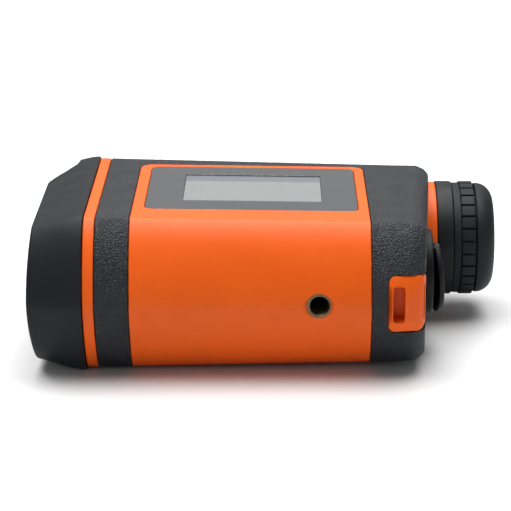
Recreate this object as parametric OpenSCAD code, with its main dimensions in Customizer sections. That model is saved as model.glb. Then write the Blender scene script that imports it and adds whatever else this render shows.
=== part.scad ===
// Hand-held laser distance meter: a monocular rangefinder with a display on its left side.
// It lies on its right side, so +Z is the display side, +Y is its top in use, -Y its base
// and +X its eyepiece end. The origin is the centre of the tripod socket's mouth.

/* [Body] */
// Height in use, from the tripod socket's mouth to the top of the body
body_h = 81.2; // [78:0.2:100]
// Width of the body at the tripod socket
body_w = 41.4; // [40:0.2:52]
// Length of the orange housing between the front and rear rubber
housing_len = 66.15; // [60:0.5:84]
// Distance from the tripod socket back to the rear rubber's edge
socket_to_rear_seam = 14.4; // [12:0.2:18]
// Length of the rubber ring in front of the housing
grip_len = 9.35; // [7:0.1:14]
// Length of the orange band in front of the rubber ring
band_len = 3.15; // [2:0.1:5]
// Length of the front hood
hood_len = 15.35; // [12:0.1:20]
// Distance from the tripod socket to the rear face, at the socket's height
rear_face_x = 28.77; // [27:0.1:34]
// Thickness of the body's wall with its rubber
wall = 2.6; // [2.4:0.1:3.2]
// Thickness of the rubber armour
armour_t = 1.4; // [1:0.1:1.6]

/* [Body shape] */
// Narrowing of each side per millimetre towards the eyepiece
side_taper = 0.0175; // [0:0.0025:0.02]
// Fall of the top per millimetre towards the eyepiece
top_fall = 0.04; // [0:0.005:0.06]
// Fall of the sides' upper edges per millimetre towards the eyepiece
shoulder_fall = 0.045; // [0.03:0.005:0.07]
// Lean of the rear face per millimetre of height
rear_lean = 0.0773; // [0:0.005:0.09]
// Depth of the rounding at the base
base_round = 12.7; // [8:0.1:14]
// Depth of the rounding at the top, at the tripod socket
top_round = 12.2; // [10:0.1:14]
// Fullness of the base's rounding (2 is an ellipse)
base_fullness = 1.49; // [1.4:0.01:2.2]
// Fullness of the top's rounding
top_fullness = 2.25; // [2:0.05:2.4]
// Length of the rear face's bevel
bevel_len = 3.9; // [2:0.1:4.5]
// Inset of the rear face's bevel
bevel_in = 3.1; // [2:0.1:3.6]
// Sink of the tripod socket's mouth below the base
mouth_sink = 0.8; // [0.4:0.1:1.2]

/* [Hood] */
// How far the hood stands proud of the band
hood_proud = 0.55; // [0.2:0.05:1]
// How much each side of the hood draws in at its lip
hood_draw = 3.3; // [1:0.1:4]
// Height at which the lip's upper corner starts to slant back, below the top
lip_slant_drop = 24.25; // [18:0.25:28]
// Slant of the lip's upper corner, back per millimetre of height
lip_slant = 0.64; // [0.3:0.02:0.8]
// Length of the hood along its top
hood_top_len = 6.5; // [4:0.1:9]
// Thickness of the hood's wall
hood_wall = 2; // [1.6:0.1:2.4]

/* [Display] */
// Length of the display window
window_l = 59.45; // [50:0.5:62]
// Height of the display window
window_h = 43.7; // [36:0.5:46]
// Corner radius of the display window
window_r = 2.6; // [1:0.1:4]
// Thickness of the display window
window_t = 1.2; // [0.8:0.1:1.4]
// Length of the liquid crystal's visible area
lcd_l = 39.2; // [32:0.2:42]
// Height of the liquid crystal's visible area
lcd_h = 26.9; // [20:0.2:30]
// Drop of the orange rim's upper edge below the side's upper edge
rim_drop = 1.7; // [1:0.1:3]
// Gap from the orange rim's upper edge to the window
rim_gap = 2.6; // [1.5:0.1:4]

/* [Optics] */
// Drop of the optical axis below the top of the body
eye_drop = 19.1; // [18.5:0.1:22]
// Clear diameter of the objective
objective_d = 24; // [20:0.5:26]
// Distance between the viewing axis and the laser axis
laser_drop = 36; // [32:0.5:40]
// Clear diameter of the laser lens
laser_d = 16; // [12:0.5:18]
// Outer radius of the eyepiece
eyepiece_r = 16.85; // [15.5:0.05:18]
// Clear radius of the eyepiece's lenses
eye_lens_r = 11; // [9:0.1:11.5]
// Travel of the eyepiece when it is focused
focus_travel = 1.5; // [1:0.1:2.5]
// Length of the soft eyecup
eyecup_len = 5.5; // [5:0.1:8]

/* [Battery] */
// Diameter of the battery
battery_d = 15.6; // [14:0.1:17.2]
// Length of the battery
battery_len = 27; // [25:0.5:34]
// Width of the battery cap's rim beyond the battery
cap_rim = 4.35; // [4.2:0.05:5]
// Gap between the battery cap and the eyepiece
cap_gap = 3.3; // [2:0.1:5]
// Thickness of the battery cap's disc
cap_t = 2.3; // [2.1:0.1:3.2]
// Angle at which the cap's folding tab stands at rest
tab_rest = 8; // [0:1:60]
// Turn of the tab's hinge about the cap's axis
tab_turn = 25; // [0:5:90]

/* [Tripod socket and strap lug] */
// Radius of the socket's threaded bore, 1/4"-20 UNC after tapping
socket_r = 2.55; // [2.5:0.05:2.6]
// Depth of the thread
socket_len = 8; // [6:0.5:10]
// Distance from the rear seam to the strap lug
lug_gap = 4.38; // [3:0.1:6]
// Width of the strap lug
lug_w = 16.2; // [12:0.2:18]
// Width of the strap slot
slot_w = 10.2; // [8:0.2:12]
// Length of the strap slot's mouth
slot_l = 3.15; // [2.5:0.05:4]

/* [Buttons] */
// Length of the measuring button
measure_l = 15; // [12:0.5:18]
// Width of the measuring button
measure_w = 10; // [8:0.5:12]
// Length of the mode button
mode_l = 10; // [8:0.5:12]
// Width of the mode button
mode_w = 7; // [6:0.5:9]
// Distance between the two buttons
button_pitch = 21; // [16:0.5:24]
// Travel of each button
button_travel = 0.7; // [0.5:0.1:0.8]

/* [Fits] */
// Running clearance of turning and sliding pieces, on the radius
run = 0.06; // [0.03:0.01:0.09]
// Clearance of pieces that are glued or snapped in
snug = 0.1; // [0.05:0.01:0.2]
// Clearance of pieces that move past each other freely
free = 0.35; // [0.3:0.05:0.5]

/* [Hidden] */
$fn = 96;

// Stations along the body, from the tripod socket
x_rear_seam = socket_to_rear_seam;
x_front_seam = x_rear_seam - housing_len;
x_grip = x_front_seam - grip_len;
x_band = x_grip - band_len;
front_lap = 5;
lug_web = 1;
rear_lap = lug_gap - lug_web - 2 * snug;
x_split_front = x_grip + front_lap;
x_split_rear = x_rear_seam + rear_lap;
x_core_rear = x_split_rear + snug;
base_y = -mouth_sink;
past = 1;
far = 200;

function half_w(x) = body_w / 2 - side_taper * x;
function top_y(x) = body_h - top_fall * x;
function shoulder_y(x) = body_h - top_round - shoulder_fall * x;
function rear_x(y) = rear_face_x + rear_lean * y;

// Heights of the axes
eye_y = body_h - eye_drop;
laser_y = eye_y - laser_drop;
cap_r = battery_d / 2 + cap_rim;
battery_y = eye_y - eyepiece_r - cap_gap - cap_r;
rim_y = body_h - top_round - rim_drop;

// ---- Sections of the body ----
// Half a rounding is an arc of a superellipse in arc_n steps, and each flat side has side_n steps
arc_n = 36;
side_n = 6;
function spow(v, p) = sign(v) * pow(abs(v), p);
function half_arc(a, y, depth, fullness, from) =
    [for (i = [0 : arc_n])
        let (t = from + 180 * i / arc_n)
        [y + depth * spow(sin(t), 2 / fullness), a * spow(cos(t), 2 / fullness)]];
function side_points(a, y_from, y_to) =
    [for (i = [1 : side_n - 1]) [y_from + (y_to - y_from) * i / side_n, a]];
// An outline across the body: y0 its base, y1 the sides' upper edge, y2 its top
function outline(a, y0, y1, y2, inset) =
    let (y_low = y0 + base_round - inset)
    concat(
        half_arc(a, y1, y2 - y1, top_fullness, 0),
        side_points(-a, y1, y_low),
        half_arc(a, y_low, base_round - inset, base_fullness, 180),
        side_points(a, y_low, y1));
function body_outline(x, inset) =
    outline(half_w(x) - inset, base_y + inset, shoulder_y(x), top_y(x) - inset, inset);

// A ring of points across the body at x
function ring(x, inset = 0) = [for (p = body_outline(x, inset)) [x, p[0], p[1]]];
// A ring parallel to the leaning rear face, off in front of it
function rear_ring(off, inset = 0) =
    [for (p = body_outline(rear_x(body_h / 2) - off, inset)) [rear_x(p[0]) - off, p[0], p[1]]];
// The rounded bevel of the rear end, t below the outer skin
bevel_steps = [[1, 0, 0.3, 1], [0.42, 0.28, 0.45, 0.9], [0.1, 0.68, 0.85, 0.6], [0, 1, 1, 0.3]];
function rear_bevel(t = 0) =
    [for (s = bevel_steps) rear_ring(bevel_len * s[0] + t * s[2], bevel_in * s[1] + t * s[3])];

function mean(points) = [for (k = [0 : 2]) [for (p = points) p[k]] * [for (p = points) 1] / len(points)];

// A closed solid through rings of equal length, from the lowest x to the highest
module loft(rings) {
    n = len(rings[0]);
    last = len(rings) - 1;
    points = concat([for (r = rings) each r], [mean(rings[0]), mean(rings[last])]);
    front = n * (last + 1);
    faces = concat(
        [for (i = [0 : last - 1], j = [0 : n - 1])
            let (k = (j + 1) % n)
            each [[i * n + j, i * n + k, (i + 1) * n + k], [i * n + j, (i + 1) * n + k, (i + 1) * n + j]]],
        [for (j = [0 : n - 1]) [front, (j + 1) % n, j]],
        [for (j = [0 : n - 1]) [front + 1, last * n + j, last * n + (j + 1) % n]]);
    polyhedron(points = points, faces = faces, convexity = 6);
}
module body_part(x0, x1, inset = 0) loft([ring(x0, inset), ring(x1, inset)]);

// ---- Small shapes ----
module along_x(x, y = 0, z = 0) translate([x, y, z]) rotate([0, 90, 0]) children();
module rod(x0, x1, r, y, z = 0) along_x(x0, y, z) cylinder(r = r, h = x1 - x0);
module tube(x0, x1, r_out, r_in, y, z = 0) {
    difference() {
        rod(x0, x1, r_out, y, z);
        rod(x0 - past, x1 + past, r_in, y, z);
    }
}
module block(x0, x1, y0, y1, z0, z1) translate([x0, y0, z0]) cube([x1 - x0, y1 - y0, z1 - z0]);
module rounded_rect(l, h, r) {
    square([l - 2 * r, h], center = true);
    square([l, h - 2 * r], center = true);
    for (sx = [-1, 1], sy = [-1, 1])
        translate([sx * (l / 2 - r), sy * (h / 2 - r)]) circle(r = r);
}
// A lens with its axis along X and its middle at x: two arcs of one radius, turned about the axis
module lens(x, y, r, t, curve) {
    along_x(x, y) rotate_extrude($fn = 128) intersection() {
        translate([0, curve - t / 2]) circle(r = curve, $fn = 360);
        translate([0, t / 2 - curve]) circle(r = curve, $fn = 360);
        translate([0, -t]) square([r, 2 * t]);
    }
}

// The orange area of the housing, seen from the side, with rounded upper corners
rim_r = 3.6;
module orange_area() {
    l = housing_len;
    translate([(x_front_seam + x_rear_seam) / 2, rim_y - far / 2, -far / 2])
        linear_extrude(far) rounded_rect(l, far, rim_r);
}

// ---- Front hood ----
hood_steps = [[0, 0], [0.12, 0.03], [0.3, 0.17], [0.5, 0.4], [0.72, 0.68], [0.9, 0.88], [1, 1]];
x_web = x_band - hood_steps[1][0] * hood_len;
lip_bow = 1 / 480;
lip_slant_y = body_h + hood_proud - lip_slant_drop;
function lip_depth(y, z) =
    max(hood_top_len, hood_len - lip_bow * z * z - max(0, y - lip_slant_y) * lip_slant);
// The hood draws in with the distance in front of the band, less at its base and top than at its sides
draw_share_y = 0.6;
function hood_ring(along, inset = 0) =
    let (grow = hood_proud - inset,
         a = half_w(x_band) + grow,
         y0 = base_y - grow,
         y2 = top_y(x_band) + grow,
         mid = (y0 + y2) / 2)
    [for (p = outline(a, y0, shoulder_y(x_band), y2, inset))
        let (depth = along * lip_depth(p[0], p[1]),
             draw = hood_draw * lookup(depth / hood_len, hood_steps))
        [x_band - depth, p[0] + draw_share_y * draw * (mid - p[0]) / (y2 - mid), p[1] * (1 - draw / a)]];
function reversed(list) = [for (i = [len(list) - 1 : -1 : 0]) list[i]];
function hood_rings(inset, from, past_lip) =
    [for (s = reversed(hood_steps)) if (s[0] >= from)
        hood_ring(s[0] + (s[0] == 1 ? past_lip : 0), inset)];
spigot_len = 3;
module front_hood() {
    color("#24262a") difference() {
        union() {
            loft(hood_rings(0, 0, 0));
            body_part(x_band - past / 2, x_band + spigot_len, wall + snug);
        }
        loft(hood_rings(hood_wall, hood_steps[1][0], 0.1));
        body_part(x_web - past, x_band + spigot_len + past, wall + hood_wall);
    }
}

// The plate behind the hood's mouth, with a window for each lens
plate_t = 2;
x_plate = x_web - plate_t;
bezel_r = objective_d / 2;
laser_bezel_r = laser_d / 2;
module lens_plate() {
    color("#1c1d20") difference() {
        intersection() {
            loft(hood_rings(hood_wall + snug, 0, 0.1));
            block(x_plate, x_plate + plate_t, -far, far, -far, far);
        }
        rod(x_plate - past, x_plate + plate_t + past, bezel_r, eye_y);
        rod(x_plate - past, x_plate + plate_t + past, laser_bezel_r, laser_y);
    }
}

// ---- Shells ----
module front_frame() {
    color("#f26a1b") difference() {
        union() {
            body_part(x_band, x_grip);
            body_part(x_grip - past, x_split_front, armour_t);
        }
        body_part(x_band - past, x_split_front + past, wall);
    }
}

// Places of the window stack: its middle, and its plane tilted with the side
window_x = (x_front_seam + x_rear_seam) / 2 + 0.25;
window_y = rim_y - rim_gap - window_h / 2;
lcd_x = window_x + 0.2;
lcd_y = window_y + 0.5;
gasket_t = 0.3;
gasket_w = 3;
pocket_t = window_t + gasket_t;
module on_side(depth) {
    translate([window_x, 0, half_w(window_x)]) rotate([0, atan(side_taper), 0])
        translate([-window_x, 0, -depth]) children();
}
module side_slab(x, y, l, h, r, depth, t) {
    on_side(depth + t) translate([x, y, 0]) linear_extrude(t) rounded_rect(l, h, r);
}

// Places of the buttons, on the sloping top
measure_x = x_front_seam + 12.5;
mode_x = measure_x + button_pitch;
module on_top(x, depth) {
    translate([x, top_y(x), 0]) rotate([0, 0, -atan(top_fall)]) translate([0, -depth, 0])
        rotate([-90, 0, 0]) children();
}
module button_prism(x, l, w, depth, up) {
    on_top(x, depth) linear_extrude(depth + up) rounded_rect(l, w, w / 2 - 0.1);
}
module button_holes(gap) {
    button_prism(measure_x, measure_l + 2 * gap, measure_w + 2 * gap, 8, 4);
    button_prism(mode_x, mode_l + 2 * gap, mode_w + 2 * gap, 8, 4);
}

// Screws that hold the rear frame, as [y, z]
screw_r = 1;
screw_boss_r = 2.4;
screw_head_r = 1.9;
screw_y_mid = (eye_y + battery_y) / 2;
screw_y_low = battery_y - cap_r - 5.65;
screw_places = [[screw_y_mid, half_w(0) - 6.7], [screw_y_mid, 6.7 - half_w(0)],
    [screw_y_low, 11], [screw_y_low, -11]];

// The hollow in the base that leads to the tripod insert
insert_r = 4.6;
insert_flange = 1.6;
countersink_r = 4.4;
throat_r = socket_r + 0.55;
module socket_throat() {
    rotate([90, 0, 0]) translate([0, 0, -past]) cylinder(r = throat_r, h = past + far);
    rotate([90, 0, 0]) cylinder(r1 = throat_r, r2 = countersink_r + 0.6, h = mouth_sink + 0.9);
}

module main_housing() {
    color("#f26a1b") difference() {
        union() {
            difference() {
                union() {
                    body_part(x_split_front + snug, x_split_rear, armour_t);
                    intersection() {
                        body_part(x_front_seam, x_rear_seam);
                        orange_area();
                    }
                }
                body_part(x_split_front - past, x_split_rear + past, wall);
            }
            intersection() {
                body_part(x_front_seam, x_rear_seam, armour_t / 2);
                translate([0, socket_len, 0]) rotate([90, 0, 0])
                    cylinder(r = insert_r + 2.2, h = socket_len + mouth_sink + past);
            }
            for (p = screw_places)
                intersection() {
                    body_part(x_split_rear - 9, x_split_rear, armour_t + 0.4);
                    union() {
                        rod(x_split_rear - 9, x_split_rear, screw_boss_r, p[0], p[1]);
                        block(x_split_rear - 9, x_split_rear, p[0] - 1.2, p[0] + 1.2,
                            min(p[1], sign(p[1]) * far), max(p[1], sign(p[1]) * far));
                    }
                }
        }
        side_slab(window_x, window_y, window_l + 2 * snug, window_h + 2 * snug, window_r,
            -past, past + pocket_t);
        side_slab(lcd_x, lcd_y, lcd_l + 1, lcd_h + 1, 1, -past, 2 * past + wall);
        button_holes(free);
        socket_throat();
        translate([0, socket_len + past, 0]) rotate([90, 0, 0])
            cylinder(r = insert_r, h = socket_len + past);
        for (p = screw_places)
            rod(x_split_rear - 8, x_split_rear + past, screw_r - 0.15, p[0], p[1]);
    }
}

module tripod_insert() {
    color("#c9a250") difference() {
        translate([0, socket_len, 0]) rotate([90, 0, 0]) cylinder(r = insert_r, h = socket_len);
        translate([0, socket_len + past, 0]) rotate([90, 0, 0])
            cylinder(r = socket_r, h = socket_len + 2 * past);
        for (i = [0 : 23])
            rotate([0, i * 15, 0]) translate([insert_r + 0.25, socket_len / 2, 0])
                cube([0.8, socket_len - 2 * insert_flange, 0.5], center = true);
    }
}

// ---- Rear end ----
rear_floor = 2.2;
collar_len = 1.9;
collar_r = eyepiece_r - 0.25;
barrel_r = eyepiece_r - 2.45;
x_face_eye = rear_x(eye_y);
x_collar = x_face_eye + collar_len;
x_cap_seat = rear_x(battery_y - cap_r - free);
battery_r = battery_d / 2 + free;
skirt_r = battery_r + 1.2;
tube_r = skirt_r + 1.7;
seat_r = cap_r + free;

// The strap lug: a bar over an L-shaped tunnel
lug_x = x_rear_seam + lug_gap;
lug_depth = 6.8;
slot_x = lug_x + 1.35;
bar_t = 3.5;
tunnel_h = 2.6;
module rear_skin() loft(concat([ring(x_rear_seam)], rear_bevel()));
module lug_block(gap = 0) {
    l = rear_face_x + 6 - lug_x;
    translate([lug_x + l / 2, lug_depth + gap, 0]) rotate([90, 0, 0])
        linear_extrude(lug_depth + 6) rounded_rect(l + 2 * gap, lug_w + 2 * gap, 2);
}
module lug_tunnel() {
    translate([slot_x + slot_l / 2, 0, 0]) rotate([90, 0, 0]) translate([0, 0, -bar_t - 0.5])
        linear_extrude(far) rounded_rect(slot_l, slot_w, 0.9);
    block(slot_x, far, base_y + bar_t, base_y + bar_t + tunnel_h, -slot_w / 2, slot_w / 2);
}

module rear_frame() {
    color("#e8641a") difference() {
        union() {
            difference() {
                loft(concat([ring(x_core_rear, armour_t)], rear_bevel(armour_t)));
                loft([ring(x_split_rear - past, wall),
                    rear_ring(armour_t + rear_floor + bevel_len, wall),
                    rear_ring(armour_t + rear_floor, wall + bevel_in)]);
            }
            rod(x_face_eye - armour_t - rear_floor, x_collar, collar_r, eye_y);
            rod(x_cap_seat - 8, x_cap_seat - snug, seat_r - snug, battery_y);
            for (p = screw_places)
                rod(x_core_rear, rear_x(p[0]) - armour_t - 1, screw_boss_r, p[0], p[1]);
        }
        rod(x_split_rear, x_collar + past, barrel_r + snug, eye_y);
        rod(x_cap_seat - 20, x_cap_seat + past, tube_r + snug, battery_y);
        rod(x_cap_seat - snug, x_cap_seat + 20, seat_r + armour_t, battery_y);
        lug_block(snug);
        for (p = screw_places) {
            rod(x_split_rear - past, rear_x(p[0]), screw_r + snug, p[0], p[1]);
            rod(rear_x(p[0]) - armour_t - 1.4, rear_x(p[0]) + 9, screw_head_r + snug, p[0], p[1]);
        }
    }
}

module rubber_armour() {
    color("#2e3236") difference() {
        loft(concat([ring(x_grip), ring(x_rear_seam)], rear_bevel()));
        loft(concat([ring(x_grip - past, armour_t), ring(x_core_rear, armour_t)], rear_bevel(armour_t)));
        orange_area();
        rod(x_split_rear, x_collar + past, collar_r + snug, eye_y);
        rod(x_cap_seat - 20, x_cap_seat + 20, seat_r, battery_y);
        lug_block(snug);
        button_holes(free);
    }
}

module strap_lug() {
    color("#f26a1b") difference() {
        intersection() {
            rear_skin();
            lug_block();
        }
        lug_tunnel();
    }
}

module rear_screws() {
    color("#8d9094") for (p = screw_places)
        difference() {
            union() {
                rod(x_split_rear - 7, rear_x(p[0]) - armour_t - 0.9, screw_r - 0.15, p[0], p[1]);
                rod(rear_x(p[0]) - armour_t - 1.4, rear_x(p[0]) - armour_t - 0.3,
                    screw_head_r - snug, p[0], p[1]);
            }
            for (turn = [0, 90])
                translate([rear_x(p[0]) - armour_t - 0.3, p[0], p[1]]) rotate([turn, 0, 0])
                    cube([1.2, 2.2, 0.5], center = true);
        }
}

// ---- Display ----
lcd_t = 1.8;
backlight_t = 2;
board_t = 1.2;
lcd_margin = 5;
module display_window() {
    color("#5a5c60") side_slab(window_x, window_y, window_l, window_h, window_r - snug, 0, window_t);
}
module window_gasket() {
    color("#18191b") difference() {
        side_slab(window_x, window_y, window_l - 1, window_h - 1, window_r - 0.5, window_t, gasket_t);
        side_slab(lcd_x, lcd_y, lcd_l + gasket_w, lcd_h + gasket_w, 1, window_t - past, gasket_t + 2 * past);
    }
}
module lcd_panel() {
    color("#b9bcc0") side_slab(lcd_x, lcd_y, lcd_l + lcd_margin, lcd_h + lcd_margin, 0.4, wall + snug, lcd_t);
}
module lcd_backlight() {
    color("#e8e8e0") side_slab(lcd_x, lcd_y, lcd_l + lcd_margin, lcd_h + lcd_margin, 0.6,
        wall + snug + lcd_t, backlight_t);
}
module display_board() {
    depth = wall + snug + lcd_t + backlight_t;
    color("#1f6b3a") side_slab(lcd_x - 2, lcd_y - 4.5, lcd_l + 8, lcd_h + 7, 1, depth, board_t);
}

// ---- Buttons ----
button_rise = 1;
flange_t = 0.7;
flange_gap = 0.7;
flange_depth = wall + flange_gap + flange_t;
switch_depth = flange_depth + button_travel + snug;
switch_t = 1;
module button(x, l, w) {
    on_top(x, flange_depth) linear_extrude(flange_depth + button_rise - 0.4)
        rounded_rect(l, w, w / 2 - 0.1);
    on_top(x, -button_rise + 0.4) linear_extrude(0.4) rounded_rect(l - 0.9, w - 0.9, w / 2 - 0.55);
    on_top(x, flange_depth) linear_extrude(flange_t) rounded_rect(l + 2.4, w + 2.4, w / 2);
}
module measure_button() color("#202124") button(measure_x, measure_l, measure_w);
module mode_button() color("#202124") button(mode_x, mode_l, mode_w);
module button_switches() {
    color("#b8bbc0") for (x = [measure_x, mode_x])
        on_top(x, switch_depth + switch_t) {
            translate([0, 0, switch_t * 0.35]) cube([4.5, 4.5, switch_t * 0.7], center = true);
            cylinder(r = 1.2, h = switch_t);
        }
}
module button_board() {
    color("#1f6b3a") on_top((measure_x + mode_x) / 2, switch_depth + switch_t + 0.6)
        linear_extrude(0.6) rounded_rect(button_pitch + 16, 11, 1);
}

// ---- Viewing optics ----
x_prism_end = x_rear_seam - 12;
prism_len = 34;
x_prism = x_prism_end - prism_len;
prism_w = 12;
prism_h = 12.5;
barrel_wall = 1.2;
objective_r = bezel_r + 0.8;
objective_barrel_r = objective_r + barrel_wall;
prism_bore_r = 9.6;
throat_bore_r = prism_bore_r + 0.8;
throat_tube_r = throat_bore_r + barrel_wall;
x_barrel_step = x_front_seam + 2;
x_objective = x_plate + plate_t + 4;
objective_t = 5;
objective_curve = 48;
lens_gap = 0.2;
// Half the thickness of a lens at its edge
function lens_edge(r, t, curve) = t / 2 - curve + sqrt(curve * curve - r * r);
objective_seat = lens_edge(objective_r - 1.2, objective_t, objective_curve) + lens_gap;
module objective_lens() color("#9fd0d8")
    lens(x_objective, eye_y, objective_r - run, objective_t, objective_curve);
module objective_retainer() {
    color("#2a2b2e")
        tube(x_plate + plate_t + 0.2, x_objective - objective_seat, objective_r - run, bezel_r, eye_y);
}
module objective_barrel() {
    color("#2a2b2e") difference() {
        union() {
            rod(x_plate + plate_t, x_barrel_step, objective_barrel_r, eye_y);
            rod(x_barrel_step - past, x_prism, throat_tube_r, eye_y);
        }
        rod(x_plate, x_objective + objective_seat, objective_r, eye_y);
        rod(x_plate, x_barrel_step - barrel_wall, objective_r - 1.2, eye_y);
        rod(x_plate, x_prism + past, throat_bore_r, eye_y);
    }
}
module prism_housing() {
    color("#3a3c40") difference() {
        block(x_prism, x_prism_end, deck_y + deck_t, eye_y + prism_h, -prism_w, prism_w);
        block(x_prism + 2.4, x_prism_end - 4, eye_y - prism_h + 2, eye_y + prism_h - 2,
            2 - prism_w, prism_w + past);
        rod(x_prism - past, x_prism + 3, prism_bore_r, eye_y);
        rod(x_prism_end - 5, x_prism_end + past, 8.4, eye_y);
        rod(x_prism_end - 2, x_prism_end + past, prism_bore_r, eye_y);
    }
}
// A prism block: its outline in the X-Y plane, as thick as the housing's pocket
module prism_block(x, profile) {
    translate([x, eye_y, 3 - prism_w]) linear_extrude(2 * prism_w - 6) polygon(profile);
}
prism_face = prism_h - 3;
module half_penta_prism() {
    color("#cfe6ea") prism_block(x_prism + 3.2,
        [[0, -prism_face], [0, prism_face], [8, prism_face], [12.4, 2], [12.4, -prism_face]]);
}
module roof_prism() {
    color("#cfe6ea") prism_block(x_prism + 16.4,
        [[0, -prism_face], [0, 1], [4.6, prism_face], [12.4, prism_face], [12.4, -prism_face]]);
}
module reticle_plate() {
    color("#aab6b4") rod(x_prism_end - 2, x_prism_end - 0.6, prism_bore_r - snug, eye_y);
}
module receiver_module() {
    z0 = -prism_w - 0.1;
    color("#6d7378") union() {
        block(x_prism + 8, x_prism + 26, eye_y - 9, eye_y + 9, z0 - 1, z0);
        translate([x_prism + 17, eye_y, z0 - 3.4]) cylinder(r = 4.1, h = 2.4 + 0.01);
        block(x_prism + 9, x_prism + 12, eye_y - 7, eye_y + 7, z0 - 2.2, z0 - 0.99);
    }
}

// ---- Laser ----
laser_lens_r = laser_bezel_r + 0.6;
laser_tube_r = laser_lens_r + 1.2;
x_laser_end = x_plate + 34;
module laser_lens() color("#9fd0d8") lens(x_plate + plate_t + 2.8, laser_y, laser_lens_r - run, 3.6, 30);
module laser_tube() {
    color("#2a2b2e") difference() {
        rod(x_plate + plate_t, x_laser_end, laser_tube_r, laser_y);
        rod(x_plate, x_plate + plate_t + 5, laser_lens_r, laser_y);
        rod(x_plate, x_laser_end - 3, laser_lens_r - 1.2, laser_y);
        rod(x_laser_end - 4, x_laser_end + past, 2.8 + snug, laser_y);
    }
}
module laser_diode() {
    color("#c8b46a") union() {
        rod(x_laser_end - 3, x_laser_end - 0.6, 2.35, laser_y);
        rod(x_laser_end - 0.8, x_laser_end, 2.8, laser_y);
        for (turn = [0 : 120 : 240])
            translate([0, laser_y, 0]) rotate([turn, 0, 0]) translate([0, -laser_y, 0])
                rod(x_laser_end - 0.1, x_laser_end + 3, 0.22, laser_y + 1.2);
    }
}
module laser_board() {
    color("#1f6b3a") difference() {
        block(x_laser_end + 0.6, x_laser_end + 1.8, laser_y - 10, laser_y + 10, -10, 10);
        for (turn = [0 : 120 : 240])
            translate([0, laser_y, 0]) rotate([turn, 0, 0]) translate([0, -laser_y, 0])
                rod(x_laser_end, x_laser_end + 3, 0.3, laser_y + 1.2);
    }
}

// ---- Eyepiece ----
smooth_len = 4.8;
neck_len = 2.4;
rib_len = 3.9;
groove_len = 0.6;
carrier_r = eye_lens_r + 1.5;
carrier_hold = 22.37;
x_barrel_end = x_collar + smooth_len;
x_neck = x_barrel_end + snug;
x_rib = x_neck + neck_len - snug;
x_groove = x_rib + rib_len;
x_eyecup = x_groove + groove_len;
neck_r = eyepiece_r - 0.45;
eyecup_r = eyepiece_r - 0.6;
rib_count = 28;
rib_depth = 0.35;
module eyepiece_barrel() {
    color("#26282b") difference() {
        union() {
            rod(x_prism_end + snug, x_barrel_end, carrier_r + run + 1, eye_y);
            rod(x_face_eye - armour_t - rear_floor, x_barrel_end, barrel_r, eye_y);
            rod(x_collar + 0.01, x_barrel_end, eyepiece_r, eye_y);
        }
        rod(x_prism_end, x_barrel_end + past, carrier_r + run, eye_y);
    }
}
module field_lens() color("#9fd0d8") lens(x_prism_end + 5, eye_y, carrier_r, 4, 30);
module eye_lens_carrier() {
    color("#1b1c1f") difference() {
        rod(x_barrel_end - carrier_hold - focus_travel, x_groove, carrier_r, eye_y);
        rod(x_prism_end, x_groove - 6.5, eye_lens_r - 1, eye_y);
        rod(x_groove - 6.6, x_groove + past, eye_lens_r + run, eye_y);
    }
}
module eye_lens() color("#9fd0d8") lens(x_groove - 3.4, eye_y, eye_lens_r, 5.6, 19);
module diopter_ring() {
    color("#222426") difference() {
        union() {
            rod(x_neck, x_rib + 0.01, neck_r, eye_y);
            rod(x_rib, x_groove, eyepiece_r - 0.05, eye_y);
            rod(x_groove - 0.01, x_eyecup + 2, eyecup_r - 1.4, eye_y);
        }
        rod(x_neck - past, x_eyecup + 2 + past, carrier_r + run, eye_y);
        for (i = [0 : rib_count - 1])
            translate([0, eye_y, 0]) rotate([i * 360 / rib_count, 0, 0])
                translate([x_rib + rib_len / 2 + 0.2, 0, eyepiece_r])
                    cube([rib_len - 0.8, 0.5, 2 * rib_depth], center = true);
    }
}
// The eyecup's wall, as [distance back, radius]
module eyecup() {
    r = eyecup_r;
    round_r = 5;
    round_from = eyecup_len - round_r;
    color("#26282b") translate([x_eyecup, eye_y, 0]) rotate([0, 90, 0])
        rotate_extrude() difference() {
            union() {
                translate([r - round_r, 0]) square([round_r, round_from + 0.01]);
                intersection() {
                    translate([r - round_r, round_from]) circle(r = round_r);
                    translate([0, round_from]) square([2 * r, round_r + past]);
                }
            }
            translate([0, -past]) square([r - 1.4 + snug, past + 2 + snug]);
            translate([0, -past]) square([r - 3.6, far]);
        }
}

// ---- Inner frame and electronics ----
deck_t = 2;
deck_y = eye_y - objective_barrel_r - deck_t - 0.1;
x_battery = x_cap_seat - 1.8 - battery_len;
x_tube_end = x_battery - 6.6;
saddle_len = 7;
module saddle(x, r, y) {
    difference() {
        block(x, x + saddle_len, y + 3, deck_y + 0.01, -8, 8);
        rod(x - past, x + saddle_len + past, r + snug, y);
    }
}
module inner_frame() {
    color("#303236") union() {
        block(x_band + spigot_len + 5, x_prism_end, deck_y, deck_y + deck_t, 4 - half_w(0), prism_w - 0.6);
        saddle(x_laser_end - 12, laser_tube_r, laser_y);
        saddle(x_tube_end + 3, tube_r, battery_y);
        difference() {
            block(x_prism - 9, x_prism - 2, deck_y, eye_y - 4, -9, 9);
            rod(x_prism - 10, x_prism, throat_tube_r + snug, eye_y);
        }
    }
}
board_z = -tube_r - 1.45;
main_board_t = 1.6;
board_y0 = 10;
module main_board() {
    color("#1f6b3a") difference() {
        block(x_front_seam + 6, x_rear_seam - 8, board_y0, deck_y - 0.2, board_z - main_board_t, board_z);
        for (x = [x_front_seam + 9, x_rear_seam - 11], y = [board_y0 + 3, deck_y - 3.2])
            translate([x, y, board_z - 3]) cylinder(r = 1.1, h = 6);
    }
}
chip_z = board_z - main_board_t;
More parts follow.
